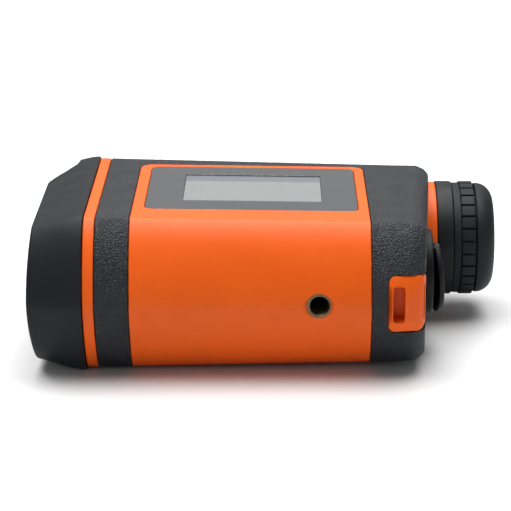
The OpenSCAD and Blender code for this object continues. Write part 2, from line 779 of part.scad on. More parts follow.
module board_chips() {
    color("#232427") union() {
        block(x_front_seam + 14, x_front_seam + 24, 20, 30, chip_z - 1.1, chip_z);
        block(x_front_seam + 29, x_front_seam + 36, 17, 22, chip_z - 0.9, chip_z);
        block(x_front_seam + 29, x_front_seam + 35, 27, 33, chip_z - 1, chip_z);
        block(x_rear_seam - 25, x_rear_seam - 17, 19, 23, chip_z - 1.4, chip_z);
        for (i = [0 : 4])
            translate([x_rear_seam - 25 + 3.4 * i, 30, chip_z - 1.5]) cylinder(r = 1.2, h = 1.5);
    }
}

// ---- Battery ----
module battery() {
    color("#3d6fb0") union() {
        rod(x_battery + 1, x_battery + battery_len, battery_d / 2, battery_y);
        rod(x_battery, x_battery + 1.01, 3.2, battery_y);
    }
}
seal_r = 0.5;
seal_x = x_cap_seat - 1;
module battery_tube() {
    color("#232427") difference() {
        rod(x_tube_end, x_cap_seat - snug, tube_r, battery_y);
        rod(x_tube_end + 1.5, x_cap_seat + past, battery_r, battery_y);
        rod(x_cap_seat - 7, x_cap_seat + past, skirt_r + run, battery_y);
        rod(x_cap_seat - 2, x_cap_seat + past, skirt_r + seal_r + 0.1, battery_y);
    }
}
// A coil spring under the battery's nose, swept along its own helix
spring_turns = 3.5;
spring_r = 4.6;
wire_r = 0.35;
wire_n = 8;
wire_rings = 64;
spring_x0 = x_tube_end + 1.5 + wire_r;
spring_x1 = x_battery - wire_r;
function spring_ring(i) =
    let (f = i / wire_rings,
         turn = 360 * spring_turns * f,
         r = spring_r - 1.6 * f,
         x = spring_x0 + (spring_x1 - spring_x0) * f)
    [for (j = [0 : wire_n - 1])
        let (t = 360 * j / wire_n, rr = r + wire_r * cos(t))
        [x + wire_r * sin(t), battery_y + rr * cos(turn), rr * sin(turn)]];
module battery_spring() {
    color("#c4c7cb") loft([for (i = [0 : wire_rings]) spring_ring(i)]);
}
contact_r = battery_d / 2 - 1.4;
stem_r = 1.5;
module cap_contact() {
    color("#c9a250") union() {
        rod(x_cap_seat - 1.7, x_cap_seat - 0.7, contact_r, battery_y);
        rod(x_cap_seat - 0.8, x_cap_seat + 1.2, stem_r, battery_y);
    }
}
module cap_seal() {
    color("#151515") along_x(seal_x, battery_y) rotate_extrude()
        translate([skirt_r, 0]) circle(r = seal_r, $fn = 32);
}

// The cap's folding tab: a half disc on a pin across the cap
hub_r = 1.15;
pin_r = 0.5;
tab_t = 1.5;
tab_r = cap_r - 0.75;
hub_half = tab_r - 3;
ear_t = 1.6;
tab_axis_x = x_cap_seat + cap_t + hub_r - 0.35;
// Places children with X out of the cap, Y along the flat tab and Z along its hinge
module at_tab() translate([tab_axis_x, battery_y, 0]) rotate([tab_turn, 0, 0]) children();
module battery_cap() {
    color("#1d1e21") difference() {
        union() {
            rod(x_cap_seat, x_cap_seat + cap_t - 0.5, cap_r, battery_y);
            along_x(x_cap_seat + cap_t - 0.51, battery_y) cylinder(r1 = cap_r, r2 = cap_r - 0.5, h = 0.51);
            rod(x_cap_seat - 6, x_cap_seat + 0.01, skirt_r, battery_y);
            for (side = [-1, 1])
                at_tab() translate([0, 0, side * (hub_half + snug + ear_t / 2)]) {
                    cylinder(r = hub_r, h = ear_t, center = true);
                    translate([-hub_r, 0, 0]) cube([2 * hub_r, 2 * hub_r, ear_t], center = true);
                }
        }
        rod(x_cap_seat - 6 - past, x_cap_seat - 0.6, battery_r, battery_y);
        rod(x_cap_seat - 1, x_cap_seat + 1.5, stem_r + run, battery_y);
        along_x(seal_x, battery_y) rotate_extrude() translate([skirt_r, 0]) circle(r = seal_r, $fn = 32);
        at_tab() translate([1 - hub_r, 0, 0])
            cube([2.5, 2 * (hub_r + free), 2 * (hub_half + snug)], center = true);
        at_tab() cylinder(r = pin_r, h = 2 * (hub_half + snug + ear_t) + past, center = true);
    }
}
module tab_pin() {
    color("#9a9da2") at_tab() cylinder(r = pin_r, h = 2 * (hub_half + snug + ear_t) - 0.2, center = true);
}
module cap_tab() {
    color("#2a2c2f") at_tab() rotate([0, 0, tab_rest]) difference() {
        union() {
            cylinder(r = hub_r, h = 2 * hub_half, center = true);
            intersection() {
                rotate([0, 90, 0]) cylinder(r = tab_r, h = tab_t, center = true);
                translate([0, -tab_r / 2, 0]) cube([2 * tab_t, tab_r, 2 * tab_r], center = true);
            }
        }
        cylinder(r = pin_r + run, h = far, center = true);
        for (side = [-1, 1])
            translate([0, 0, side * (hub_half + 5)]) cube([9, 2 * (hub_r + free + 0.6), 10], center = true);
        translate([0.9, 0, 0]) rotate([0, 90, 0]) cylinder(r = tab_r - 4.5, h = 1, center = true);
    }
}

front_hood();
lens_plate();
front_frame();
main_housing();
rear_frame();
rubber_armour();
strap_lug();
tripod_insert();
rear_screws();
display_window();
window_gasket();
lcd_panel();
lcd_backlight();
display_board();
measure_button();
mode_button();
button_switches();
button_board();
objective_lens();
objective_retainer();
objective_barrel();
prism_housing();
half_penta_prism();
roof_prism();
reticle_plate();
receiver_module();
laser_lens();
laser_tube();
laser_diode();
laser_board();
eyepiece_barrel();
field_lens();
eye_lens_carrier();
eye_lens();
diopter_ring();
eyecup();
inner_frame();
main_board();
board_chips();
battery();
battery_tube();
battery_spring();
cap_contact();
cap_seal();
battery_cap();
tab_pin();
cap_tab();
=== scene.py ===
import math

import bmesh
import bpy
from mathutils import Matrix, Vector


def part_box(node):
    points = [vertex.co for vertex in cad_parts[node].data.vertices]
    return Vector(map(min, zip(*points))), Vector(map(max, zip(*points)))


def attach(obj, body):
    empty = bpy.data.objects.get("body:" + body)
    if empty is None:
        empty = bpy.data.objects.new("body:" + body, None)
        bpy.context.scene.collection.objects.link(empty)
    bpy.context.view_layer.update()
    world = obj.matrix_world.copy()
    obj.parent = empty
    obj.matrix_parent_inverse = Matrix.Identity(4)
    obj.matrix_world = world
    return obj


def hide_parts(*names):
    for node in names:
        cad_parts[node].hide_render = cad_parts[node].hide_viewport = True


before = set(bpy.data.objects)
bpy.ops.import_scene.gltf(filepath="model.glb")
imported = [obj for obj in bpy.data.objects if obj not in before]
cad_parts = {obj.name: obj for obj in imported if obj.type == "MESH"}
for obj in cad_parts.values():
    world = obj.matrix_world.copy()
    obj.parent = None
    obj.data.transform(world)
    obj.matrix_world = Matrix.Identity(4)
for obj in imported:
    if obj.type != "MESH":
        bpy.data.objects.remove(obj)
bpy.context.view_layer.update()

# All shapes are worked out in millimetres and scaled when a piece is made
MM = 0.001


def low(node):
    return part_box(node)[0] / MM


def high(node):
    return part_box(node)[1] / MM


def middle(node):
    return (low(node) + high(node)) / 2


# ---- Sizes of the body, as in the CAD ----
BODY_W = 41.4  # width across the display side, at the tripod socket
BODY_H = 81.2
GRIP_LEN = 9.35
LUG_GAP = 4.38
SIDE_TAPER = 0.0175
TOP_FALL = 0.04
SHOULDER_FALL = 0.045
TOP_FULLNESS = 2.25
REAR_LEAN = 0.0773
REAR_FACE_X = 28.77
BASE_ROUND = 12.7
TOP_ROUND = 12.2
BASE_FULLNESS = 1.49
BEVEL_LEN = 3.9
BEVEL_IN = 3.1
RIM_R = 3.6
HOOD_PROUD = 0.55
HOOD_DRAW = 3.3
HOOD_TOP_LEN = 6.5
HOOD_WALL = 2.0
LIP_SLANT_DROP = 24.25
LIP_SLANT = 0.64
LIP_BOW = 1 / 480
ARMOUR_T = 1.4
SEAM = 0.13

BASE_Y = low("front_frame").y
X_BAND = low("front_frame").x
X_GRIP = low("rubber_armour").x
X_FRONT_SEAM = X_GRIP + GRIP_LEN
X_LUG = low("strap_lug").x
X_REAR_SEAM = X_LUG - LUG_GAP
HOOD_LEN = X_BAND - low("front_hood").x
RIM_Y = BODY_H - TOP_ROUND - 1.7
EYE_Y = middle("diopter_ring").y
LASER_Y = middle("laser_lens").y
BATTERY_Y = middle("battery").y


def half_w(x):
    return BODY_W / 2 - SIDE_TAPER * x


def top_y(x):
    return BODY_H - TOP_FALL * x


def shoulder_y(x):
    return BODY_H - TOP_ROUND - SHOULDER_FALL * x


def rear_x(y):
    return REAR_FACE_X + REAR_LEAN * y


# ---- Mesh helpers ----
def mix(a, b, t):
    return a + (b - a) * t


def spow(v, p):
    return math.copysign(abs(v) ** p, v)


def spread(a, b, n):
    return [mix(a, b, i / n) for i in range(n + 1)]


def solid(loops, closed=False, caps=True):
    """A solid through closed loops of equal length. closed joins the last loop to the first."""
    bm = bmesh.new()
    rows = [[bm.verts.new(p) for p in loop] for loop in loops]
    n = len(loops[0])
    pairs = list(zip(rows, rows[1:])) + ([(rows[-1], rows[0])] if closed else [])
    for a, b in pairs:
        for j in range(n):
            bm.faces.new((a[j], a[(j + 1) % n], b[(j + 1) % n], b[j]))
    if caps and not closed:
        bm.faces.new(rows[0])
        bm.faces.new(rows[-1])
    bmesh.ops.recalc_face_normals(bm, faces=bm.faces)
    return bm


def joined(*parts):
    out = bmesh.new()
    for part in parts:
        mesh = bpy.data.meshes.new("part")
        part.to_mesh(mesh)
        part.free()
        out.from_mesh(mesh)
        bpy.data.meshes.remove(mesh)
    return out


def as_object(bm, name="work"):
    mesh = bpy.data.meshes.new(name)
    bm.to_mesh(mesh)
    bm.free()
    obj = bpy.data.objects.new(name, mesh)
    bpy.context.scene.collection.objects.link(obj)
    return obj


def worked(bm, steps=(), cutters=()):
    """bm after modifiers, given as (type, settings), and after the cutters are taken out of it."""
    obj = as_object(bm)
    for kind, settings in steps:
        modifier = obj.modifiers.new(kind, kind)
        for key, value in settings.items():
            setattr(modifier, key, value)
    tools = [as_object(c) for c in cutters]
    for tool in tools:
        modifier = obj.modifiers.new("cut", "BOOLEAN")
        modifier.operation = "DIFFERENCE"
        modifier.solver = "EXACT"
        modifier.object = tool
    depsgraph = bpy.context.evaluated_depsgraph_get()
    mesh = bpy.data.meshes.new_from_object(obj.evaluated_get(depsgraph))
    out = bmesh.new()
    out.from_mesh(mesh)
    bpy.data.meshes.remove(mesh)
    for o in [obj, *tools]:
        old = o.data
        bpy.data.objects.remove(o)
        bpy.data.meshes.remove(old)
    return out


def shell_steps(thickness, edge):
    """A surface gets a thickness inwards, and its edges a small rounding."""
    return [("SOLIDIFY", {"thickness": thickness, "offset": -1, "use_even_offset": False}),
            ("BEVEL", {"width": edge, "segments": 3, "limit_method": "ANGLE", "angle_limit": math.radians(40),
                       "use_clamp_overlap": False})]


def bevel_step(width, angle=35, segments=3):
    return ("BEVEL", {"width": width, "segments": segments, "limit_method": "ANGLE",
                      "angle_limit": math.radians(angle)})


def outward(bm, centre=(-15, 38, 0)):
    """Turns an open surface's faces away from a point inside it."""
    c = Vector(centre)
    if sum(f.normal.dot(f.calc_center_median() - c) * f.calc_area() for f in bm.faces) < 0:
        bmesh.ops.reverse_faces(bm, faces=bm.faces)
    return bm


def piece(name, bm, look, body="housing", nodes=(), sharp=32):
    """Makes a finished piece of bm, in the look of a material slot, which stands for the CAD nodes."""
    bmesh.ops.scale(bm, vec=(MM, MM, MM), verts=bm.verts)
    bm.normal_update()
    obj = as_object(bm, name)
    obj.data.shade_smooth()
    obj.data.set_sharp_from_angle(angle=math.radians(sharp))
    obj.data.materials.append(look_of(look))
    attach(obj, body)
    if nodes:
        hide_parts(*nodes)
    return obj


# ---- Profiles ----
def filleted(points, closed=True, steps=5):
    """A profile of (x, r, fillet radius) with each corner rounded to its radius."""
    out = []
    n = len(points)
    for i, (x, r, f) in enumerate(points):
        if f <= 0 or (not closed and i in (0, n - 1)):
            out.append((x, r))
            continue
        p = Vector((x, r))
        a = Vector(points[i - 1][:2]) - p
        b = Vector(points[(i + 1) % n][:2]) - p
        turn = a.angle(b)
        back = min(f / math.tan(turn / 2), a.length * 0.49, b.length * 0.49)
        pa, pb = p + a.normalized() * back, p + b.normalized() * back
        for k in range(steps + 1):
            t = k / steps
            q = pa.lerp(p, t).lerp(p.lerp(pb, t), t)
            out.append((q.x, q.y))
    return out


def revolved(profile, y, z=0.0, turns=160, shape=None, closed=True):
    """A profile of (x, r) turned about an axis along X. shape(x, r, share of a turn) changes r."""
    loops = []
    for x, r in profile:
        loop = []
        for k in range(turns):
            share = k / turns
            rr = shape(x, r, share) if shape else r
            angle = 2 * math.pi * share
            loop.append((x, y + rr * math.cos(angle), z + rr * math.sin(angle)))
        loops.append(loop)
    return solid(loops, closed=closed)


def rounded_loop(length, height, r, steps=8):
    """A rounded rectangle about the origin."""
    out = []
    for k, (sx, sy) in enumerate([(1, 1), (-1, 1), (-1, -1), (1, -1)]):
        for i in range(steps + 1):
            t = math.radians(90 * k + 90 * i / steps)
            out.append((sx * (length / 2 - r) + r * math.cos(t), sy * (height / 2 - r) + r * math.sin(t)))
    return out


def moved(bm, matrix):
    bmesh.ops.transform(bm, matrix=matrix, verts=bm.verts)
    return bm


def slab(length, height, r, levels, matrix, inner=None):
    """A rounded plate through levels of (z, growth). inner is a second set of levels and sizes for a hole."""
    loops = [[(u, v, z) for u, v in rounded_loop(length + 2 * g, height + 2 * g, max(r + g, 0.05))]
             for z, g in levels]
    if inner:
        (cx, cy), il, ih, ir, inner_levels = inner
        loops += [[(cx + u, cy + v, z)
                   for u, v in rounded_loop(il + 2 * g, ih + 2 * g, max(ir + g, 0.05))]
                  for z, g in inner_levels]
    return moved(solid(loops, closed=bool(inner)), matrix)


# ---- Sections of the body ----
ARC_N = 64
SIDE_N = 14
UPPER_SIDE_N = 3


def arc_point(a, y, depth, fullness, t):
    return (y + depth * spow(math.sin(t), 2 / fullness), a * spow(math.cos(t), 2 / fullness))


def lower_points(x, y_cut, inset=0.0, a=None, y0=None):
    """Points from the display side at y_cut down round the base to the other side."""
    a = (half_w(x) if a is None else a) - inset
    y0 = (BASE_Y if y0 is None else y0) + inset
    depth = BASE_ROUND - inset
    y_low = y0 + depth
    side = [(y, a) for y in spread(y_cut, y_low, SIDE_N)[:-1]]
    arc = [arc_point(a, y_low, -depth, BASE_FULLNESS, t) for t in spread(0, math.pi, ARC_N)]
    return side + arc + [(y, -a) for y in spread(y_low, y_cut, SIDE_N)[1:]]


def upper_points(x, y_cut, inset=0.0, a=None, y2=None):
    """Points from the far side at y_cut over the top to the display side, without its two ends."""
    a = (half_w(x) if a is None else a) - inset
    y1 = shoulder_y(x)
    depth = (top_y(x) if y2 is None else y2) - inset - y1
    side = [(y, -a) for y in spread(y_cut, y1, UPPER_SIDE_N)[1:-1]]
    arc = [arc_point(a, y1, depth, TOP_FULLNESS, t) for t in spread(math.pi, 0, ARC_N)]
    return side + arc + [(y, a) for y in spread(y1, y_cut, UPPER_SIDE_N)[1:-1]]


def section(x, y_cut, inset=0.0, **sizes):
    low_sizes = {k: v for k, v in sizes.items() if k != "y2"}
    up_sizes = {k: v for k, v in sizes.items() if k != "y0"}
    return lower_points(x, y_cut, inset, **low_sizes) + upper_points(x, y_cut, inset, **up_sizes)


def ring(x, inset=0.0, y_cut=RIM_Y - RIM_R):
    return [(x, y, z) for y, z in section(x, y_cut, inset)]


def rear_ring(off, inset=0.0):
    x = rear_x(BODY_H / 2) - off
    return [(rear_x(y) - off, y, z) for y, z in section(x, RIM_Y - RIM_R, inset)]


def rim_stations(gap=0.0, corner_steps=8, middle_steps=24):
    """Stations (x, y_cut) along the orange area, whose upper corners are rounded."""
    x0, x1 = X_FRONT_SEAM + gap, X_REAR_SEAM - gap
    corner = [math.radians(90 * k / corner_steps) for k in range(corner_steps + 1)]
    front = [(x0 + RIM_R * (1 - math.cos(t)), RIM_Y - gap - RIM_R * (1 - math.sin(t))) for t in corner]
    rear = [(x1 - RIM_R * (1 - math.cos(t)), y) for t, (_, y) in zip(corner, front)][::-1]
    flat = [(x, RIM_Y - gap) for x in spread(x0 + RIM_R, x1 - RIM_R, middle_steps)[1:-1]]
    return front + flat + rear


def bevel_curve():
    """The rear bevel as (off, inset): the CAD's flats, with a ring just ahead that keeps the crease crisp."""
    return [(BEVEL_LEN + 0.4, 0.0), (BEVEL_LEN, 0.0), (0.42 * BEVEL_LEN, 0.28 * BEVEL_IN),
            (0.1 * BEVEL_LEN, 0.68 * BEVEL_IN), (0.0, BEVEL_IN)]


# ---- Looks: one procedural material for each of the record's slots ----
LOOKS = {}


class Nodes:
    """A small builder of material nodes."""

    def __init__(self, name):
        self.material = bpy.data.materials.new(name)
        self.material.use_nodes = True
        self.tree = self.material.node_tree
        self.shader = self.tree.nodes["Principled BSDF"]
        self.place = self.add("ShaderNodeTexCoord").outputs["Object"]

    def add(self, kind, inputs=None, **settings):
        node = self.tree.nodes.new(kind)
        for key, value in settings.items():
            setattr(node, key, value)
        for key, value in (inputs or {}).items():
            socket = node.inputs[key]
            if isinstance(value, bpy.types.NodeSocket):
                self.tree.links.new(value, socket)
            else:
                socket.default_value = value
        return node

    def noise(self, size, detail=2.0, rough=0.5, distortion=0.0, stretch=None):
        """Noise whose features are about size millimetres across."""
        place = self.place
        if stretch:
            place = self.add("ShaderNodeMapping", {"Vector": place, "Scale": stretch}).outputs["Vector"]
        return self.add("ShaderNodeTexNoise", {"Vector": place, "Scale": 1 / (size * MM), "Detail": detail,
                                               "Roughness": rough, "Distortion": distortion}).outputs["Fac"]

    def cells(self, size, feature="F1", vector=None):
        node = self.add("ShaderNodeTexVoronoi", {"Vector": vector or self.place, "Scale": 1 / (size * MM)},
                        feature=feature)
        return node.outputs["Distance"]

    def remap(self, value, a, b, c, d):
        return self.add("ShaderNodeMapRange", {"Value": value, "From Min": a, "From Max": b, "To Min": c,
                                               "To Max": d}).outputs["Result"]

    def maths(self, operation, a, b=0.0):
        return self.add("ShaderNodeMath", {0: a, 1: b}, operation=operation).outputs["Value"]

    def blend(self, fac, a, b):
        node = self.add("ShaderNodeMix", data_type="RGBA")
        for key, value in (("Factor_Float", fac), ("A_Color", a), ("B_Color", b)):
            socket = [s for s in node.inputs if s.identifier == key][0]
            if isinstance(value, bpy.types.NodeSocket):
                self.tree.links.new(value, socket)
            else:
                socket.default_value = value if key == "Factor_Float" else (*value, 1)
        return [s for s in node.outputs if s.identifier == "Result_Color"][0]

    def bump(self, height, strength, distance, under=None):
        inputs = {"Height": height, "Strength": strength, "Distance": distance * MM}
        if under is not None:
            inputs["Normal"] = under
        return self.add("ShaderNodeBump", inputs).outputs["Normal"]

    def edges(self, low_at, high_at):
        """0 on flats, rising to 1 on worn convex edges."""
        pointy = self.add("ShaderNodeNewGeometry").outputs["Pointiness"]
        return self.remap(pointy, low_at, high_at, 0, 1)

    def finish(self, colour, rough, normal, **values):
        for key, value in (("Base Color", colour), ("Roughness", rough), ("Normal", normal)):
            self.tree.links.new(value, self.shader.inputs[key])
        for key, value in values.items():
            self.shader.inputs[key.replace("_", " ")].default_value = value
        return self.material


def shaded(colour, factor):
    return tuple(c * factor for c in colour)


def moulded(name, colour, rough, grain=0.3, depth=0.02, wear=0.12, vary=0.12, **values):
    """Moulded plastic: a fine spark-eroded grain, faint flow marks and slightly polished edges."""
    n = Nodes(name)
    flow = n.noise(22, 3, 0.55, 0.4)
    speck = n.noise(grain * 2.2, 2)
    base = n.blend(n.remap(flow, 0.3, 0.7, 0, 1), shaded(colour, 1 - vary / 2), shaded(colour, 1 + vary / 2))
    base = n.blend(n.maths("MULTIPLY", n.remap(speck, 0.35, 0.75, 0, 1), 0.14), base, shaded(colour, 1.35))
    worn = tuple(mix(c, 0.75, 0.35) for c in colour)
    edge = n.maths("MULTIPLY", n.edges(0.53, 0.64), n.remap(n.noise(3), 0.4, 0.65, 0, wear))
    base = n.blend(edge, base, worn)
    gloss = n.remap(n.maths("ADD", n.noise(5, 3), n.noise(40)), 0.7, 1.3, rough - 0.06, rough + 0.06)
    normal = n.bump(n.noise(grain, 2, 0.6), 0.7, depth)
    normal = n.bump(n.noise(14, 1), 0.25, 0.08, normal)
    return n.finish(base, gloss, normal, **values)


GRAIN = 0.8  # size of a cell of the rubber's grain, in millimetres


def leather(name, colour, light, rough):
    """Armour rubber with a fine leather grain: rounded cells with creases between them, and a painted sheen that
    lightens the crests of the grain.
    """
    n = Nodes(name)
    warp = n.add("ShaderNodeTexNoise", {"Vector": n.place, "Scale": 1 / (1.1 * MM), "Detail": 2.0})
    shift = n.add("ShaderNodeVectorMath", {0: warp.outputs["Color"], 1: (0.5, 0.5, 0.5)}, operation="SUBTRACT")
    shift = n.add("ShaderNodeVectorMath", {0: shift.outputs["Vector"], "Scale": 0.7 * MM}, operation="SCALE")
    place = n.add("ShaderNodeVectorMath", {0: n.place, 1: shift.outputs["Vector"]}, operation="ADD")
    place = place.outputs["Vector"]
    crease = n.remap(n.cells(GRAIN, "DISTANCE_TO_EDGE", place), 0.0, 0.32, 0, 1)
    dome = n.cells(GRAIN, "F1", place)
    height = n.maths("SUBTRACT", crease, n.maths("MULTIPLY", dome, 0.35))
    height = n.maths("ADD", height, n.maths("MULTIPLY", n.noise(0.35, 2), 0.35))
    tone = n.blend(n.remap(n.noise(9, 3), 0.35, 0.65, 0, 1), shaded(colour, 0.86), shaded(colour, 1.14))
    # Painted sheen: the crests of the grain are blended up to half way toward the lighter colour.
    painted_crest_sheen = n.maths("MULTIPLY", n.remap(height, 0.75, 1.15, 0, 1), 0.5)
    base = n.blend(painted_crest_sheen, tone, light)
    scuff = n.maths("MULTIPLY", n.edges(0.52, 0.62), n.remap(n.noise(1.6, 4), 0.5, 0.72, 0, 0.55))
    base = n.blend(scuff, base, shaded(light, 2.4))
    gloss = n.remap(n.noise(7, 3), 0.3, 0.7, rough - 0.07, rough + 0.07)
    return n.finish(base, gloss, n.bump(height, 0.9, 0.15), Specular_IOR_Level=0.3)


def film(name, colour, rough, **values):
    """A smooth glossy sheet with faint wiping marks and dust."""
    n = Nodes(name)
    smear = n.noise(16, 4, 0.6, 1.2, (1, 2.5, 1))
    base = n.blend(n.remap(smear, 0.3, 0.7, 0, 1), shaded(colour, 0.93), shaded(colour, 1.07))
    dust = n.maths("MULTIPLY", n.remap(n.noise(0.5, 2), 0.74, 0.8, 0, 1), 0.15)
    base = n.blend(dust, base, (0.5, 0.5, 0.5))
    edge = n.maths("MULTIPLY", n.edges(0.52, 0.6), n.remap(n.noise(1.2), 0.5, 0.7, 0, 0.6))
    base = n.blend(edge, base, (0.55, 0.5, 0.48))
    gloss = n.remap(smear, 0.3, 0.7, rough - 0.03, rough + 0.04)
    return n.finish(base, gloss, n.bump(n.noise(14, 1), 0.04, 0.03), **values)


def metal(name, colour, rough, stretch=(1, 1, 1)):
    n = Nodes(name)
    line = n.noise(0.5, 3, 0.6, 0.0, stretch)
    base = n.blend(n.remap(line, 0.3, 0.7, 0, 1), shaded(colour, 0.85), shaded(colour, 1.1))
    base = n.blend(n.maths("MULTIPLY", n.remap(n.noise(4, 4), 0.5, 0.75, 0, 1), 0.3), base, shaded(colour, 0.55))
    gloss = n.remap(n.noise(2.5, 3), 0.3, 0.7, rough - 0.08, rough + 0.1)
    return n.finish(base, gloss, n.bump(line, 0.3, 0.02), Metallic=1.0)


def glass(name, colour, tint):
    """Coated optics: dark and reflective, with a coating tint that shifts in patches."""
    n = Nodes(name)
    base = n.blend(n.remap(n.noise(18, 2), 0.35, 0.65, 0, 1), colour, tint)
    gloss = n.remap(n.noise(3, 3), 0.4, 0.7, 0.03, 0.09)
    return n.finish(base, gloss, n.bump(n.noise(11, 1), 0.05, 0.03), Specular_IOR_Level=0.9,
                    Coat_Weight=1.0, Coat_Roughness=0.03, Coat_IOR=1.7, Coat_Tint=(0.7, 0.82, 1.0, 1.0))


def crystal(name, colour, band):
    """The liquid crystal: silver grey, with a painted shadow of the window's frame as a darker strip along its upper
    edge, and faint rows.
    """
    n = Nodes(name)
    y = n.add("ShaderNodeSeparateXYZ", {"Vector": n.place}).outputs["Y"]
    top = high("lcd_panel").y * MM
    # Painted shadow: within about 8 mm of its upper edge the crystal turns to the band colour, where the window's
    # frame shades it.
    strip = n.remap(y, top - 0.0092, top - 0.0078, 0, 1)
    base = n.blend(strip, colour, band)
    rows = n.add("ShaderNodeTexWave", {"Vector": n.place, "Scale": 1 / (2.4 * MM), "Distortion": 0.4},
                 bands_direction="X").outputs["Fac"]
    base = n.blend(n.maths("MULTIPLY", rows, 0.06), base, shaded(colour, 0.7))
    base = n.blend(n.maths("MULTIPLY", n.remap(n.noise(12, 3), 0.4, 0.7, 0, 1), 0.12), base, shaded(colour, 0.8))
    gloss = n.remap(n.noise(6, 2), 0.3, 0.7, 0.2, 0.3)
    return n.finish(base, gloss, n.bump(n.noise(0.4), 0.05, 0.005))


def board(name, colour):
    n = Nodes(name)
    track = n.add("ShaderNodeTexBrick", {"Vector": n.place, "Scale": 1 / (3 * MM), "Mortar Size": 0.06,
                                         "Color1": (1, 1, 1, 1), "Color2": (0.8, 0.8, 0.8, 1),
                                         "Mortar": (0, 0, 0, 1)}).outputs["Color"]
    base = n.blend(n.maths("MULTIPLY", track, 0.35), colour, shaded(colour, 1.9))
    gloss = n.remap(n.noise(2), 0.3, 0.7, 0.3, 0.42)
    return n.finish(base, gloss, n.bump(track, 0.3, 0.04))


def look_of(slot):
    if slot not in LOOKS:
        LOOKS[slot] = MAKERS[slot](slot)
    return LOOKS[slot]


ORANGE = (0.74, 0.099, 0.0036)
MAKERS = {
    "orange_plastic": lambda s: moulded(s, ORANGE, 0.42, 0.24, 0.022, 0.2, 0.08, Specular_IOR_Level=0.22),
    "hood_plastic": lambda s: moulded(s, (0.0085, 0.0095, 0.0125), 0.5, 0.22, 0.014, 0.05, 0.2,
                                      Specular_IOR_Level=0.18),
    "black_plastic": lambda s: moulded(s, (0.009, 0.0095, 0.011), 0.46, 0.25, 0.016, 0.06, 0.2,
                                       Specular_IOR_Level=0.18),
    "soft_rubber": lambda s: moulded(s, (0.0105, 0.012, 0.015), 0.56, 0.4, 0.02, 0.04, 0.25,
                                     Specular_IOR_Level=0.18),
    # The second colour is the painted sheen on the grain's crests and, brightened, the colour of scuffed edges.
    "armour_rubber": lambda s: leather(s, (0.0105, 0.013, 0.0165), (0.032, 0.038, 0.045), 0.5),
    "window_acrylic": lambda s: film(s, (0.042, 0.044, 0.048), 0.3),
    # The second colour is the painted shadow of the window's frame along the crystal's upper edge.
    "lcd_glass": lambda s: crystal(s, (0.2, 0.205, 0.205), (0.12, 0.12, 0.145)),
    "backlight_plastic": lambda s: moulded(s, (0.7, 0.7, 0.66), 0.5, 0.5),
    "circuit_board": lambda s: board(s, (0.012, 0.09, 0.035)),
    "chip_epoxy": lambda s: moulded(s, (0.012, 0.012, 0.013), 0.6, 0.15),
    "optical_glass": lambda s: glass(s, (0.012, 0.016, 0.03), (0.03, 0.014, 0.034)),
    "brass": lambda s: metal(s, (0.16, 0.11, 0.06), 0.42, (1, 12, 1)),
    "steel": lambda s: metal(s, (0.45, 0.46, 0.48), 0.3, (1, 1, 14)),
    "gold_can": lambda s: metal(s, (0.6, 0.45, 0.2), 0.3),
    "battery_sleeve": lambda s: film(s, (0.045, 0.12, 0.33), 0.25),
    "foam": lambda s: moulded(s, (0.01, 0.01, 0.01), 0.85, 0.6, 0.15),
}


# ---- Front hood, with its lip ----
HOOD_CURVE = [(0, 0), (0.12, 0.03), (0.3, 0.17), (0.5, 0.4), (0.72, 0.68), (0.9, 0.88), (1, 1)]
LIP_R = 0.55


def hood_draw(along):
    """The share of the draw-in at a share of the hood's length, smoothly through the CAD's steps."""
    k = max(i for i in range(len(HOOD_CURVE) - 1) if HOOD_CURVE[i][0] <= along or i == 0)
    (x0, v0), (x1, v1) = HOOD_CURVE[k], HOOD_CURVE[k + 1]

    def slope(i):
        a, b = HOOD_CURVE[max(i - 1, 0)], HOOD_CURVE[min(i + 1, len(HOOD_CURVE) - 1)]
        return (b[1] - a[1]) / (b[0] - a[0])
    h = x1 - x0
    t = min((along - x0) / h, 1)
    return ((2 * t ** 3 - 3 * t ** 2 + 1) * v0 + (t ** 3 - 2 * t ** 2 + t) * h * slope(k)
            + (3 * t ** 2 - 2 * t ** 3) * v1 + (t ** 3 - t ** 2) * h * slope(k + 1))


def soft_max(a, b, radius):
    """The larger of two values, rounded where they cross."""
    gap = max(radius - abs(a - b), 0) / radius
    return max(a, b) + gap * gap * radius / 4


def lip_depth(y, z):
    slant_y = BODY_H + HOOD_PROUD - LIP_SLANT_DROP
    slant = soft_max(0, y - slant_y, 2.0)
    return soft_max(HOOD_TOP_LEN, HOOD_LEN - LIP_BOW * z * z - slant * LIP_SLANT, 1.2)


def hood_ring(along, inset, back=0.0):
    """A ring of the hood at a share of its length, inset from its skin and drawn back from its lip."""
    grow = HOOD_PROUD - inset
    a, y0, y2 = half_w(X_BAND) + grow, BASE_Y - grow, top_y(X_BAND) + grow
    mid = (y0 + y2) / 2
    ring_points = []
    for y, z in section(X_BAND, RIM_Y - RIM_R, 0, a=a, y0=y0, y2=y2):
        depth = along * lip_depth(y, z) - back
        draw = HOOD_DRAW * hood_draw(min(max(depth / HOOD_LEN, 0), 1))
        ring_points.append((X_BAND - depth, y + 0.6 * draw * (mid - y) / (y2 - mid), z * (1 - draw / a)))
    return ring_points


def make_hood():
    seam = [(SEAM, HOOD_WALL), (SEAM, 0.35), (SEAM + 0.12, 0.08), (SEAM + 0.4, 0.0)]
    loops = [hood_ring(0, inset, -back) for back, inset in seam]
    loops += [hood_ring(a, 0) for a in spread(0.08, 0.955, 26)]
    turn = [math.radians(90 * k / 5) for k in range(6)]
    loops += [hood_ring(1, LIP_R * (1 - math.cos(t)), LIP_R * (1 - math.sin(t))) for t in turn]
    loops += [hood_ring(1, HOOD_WALL - LIP_R * (1 - math.cos(t)), LIP_R * (1 - math.sin(t))) for t in turn[::-1]]
    loops += [hood_ring(a, HOOD_WALL) for a in spread(0.93, 0.06, 20)]
    return piece("hood", solid(loops, closed=True), "hood_plastic", nodes=["front_hood"])


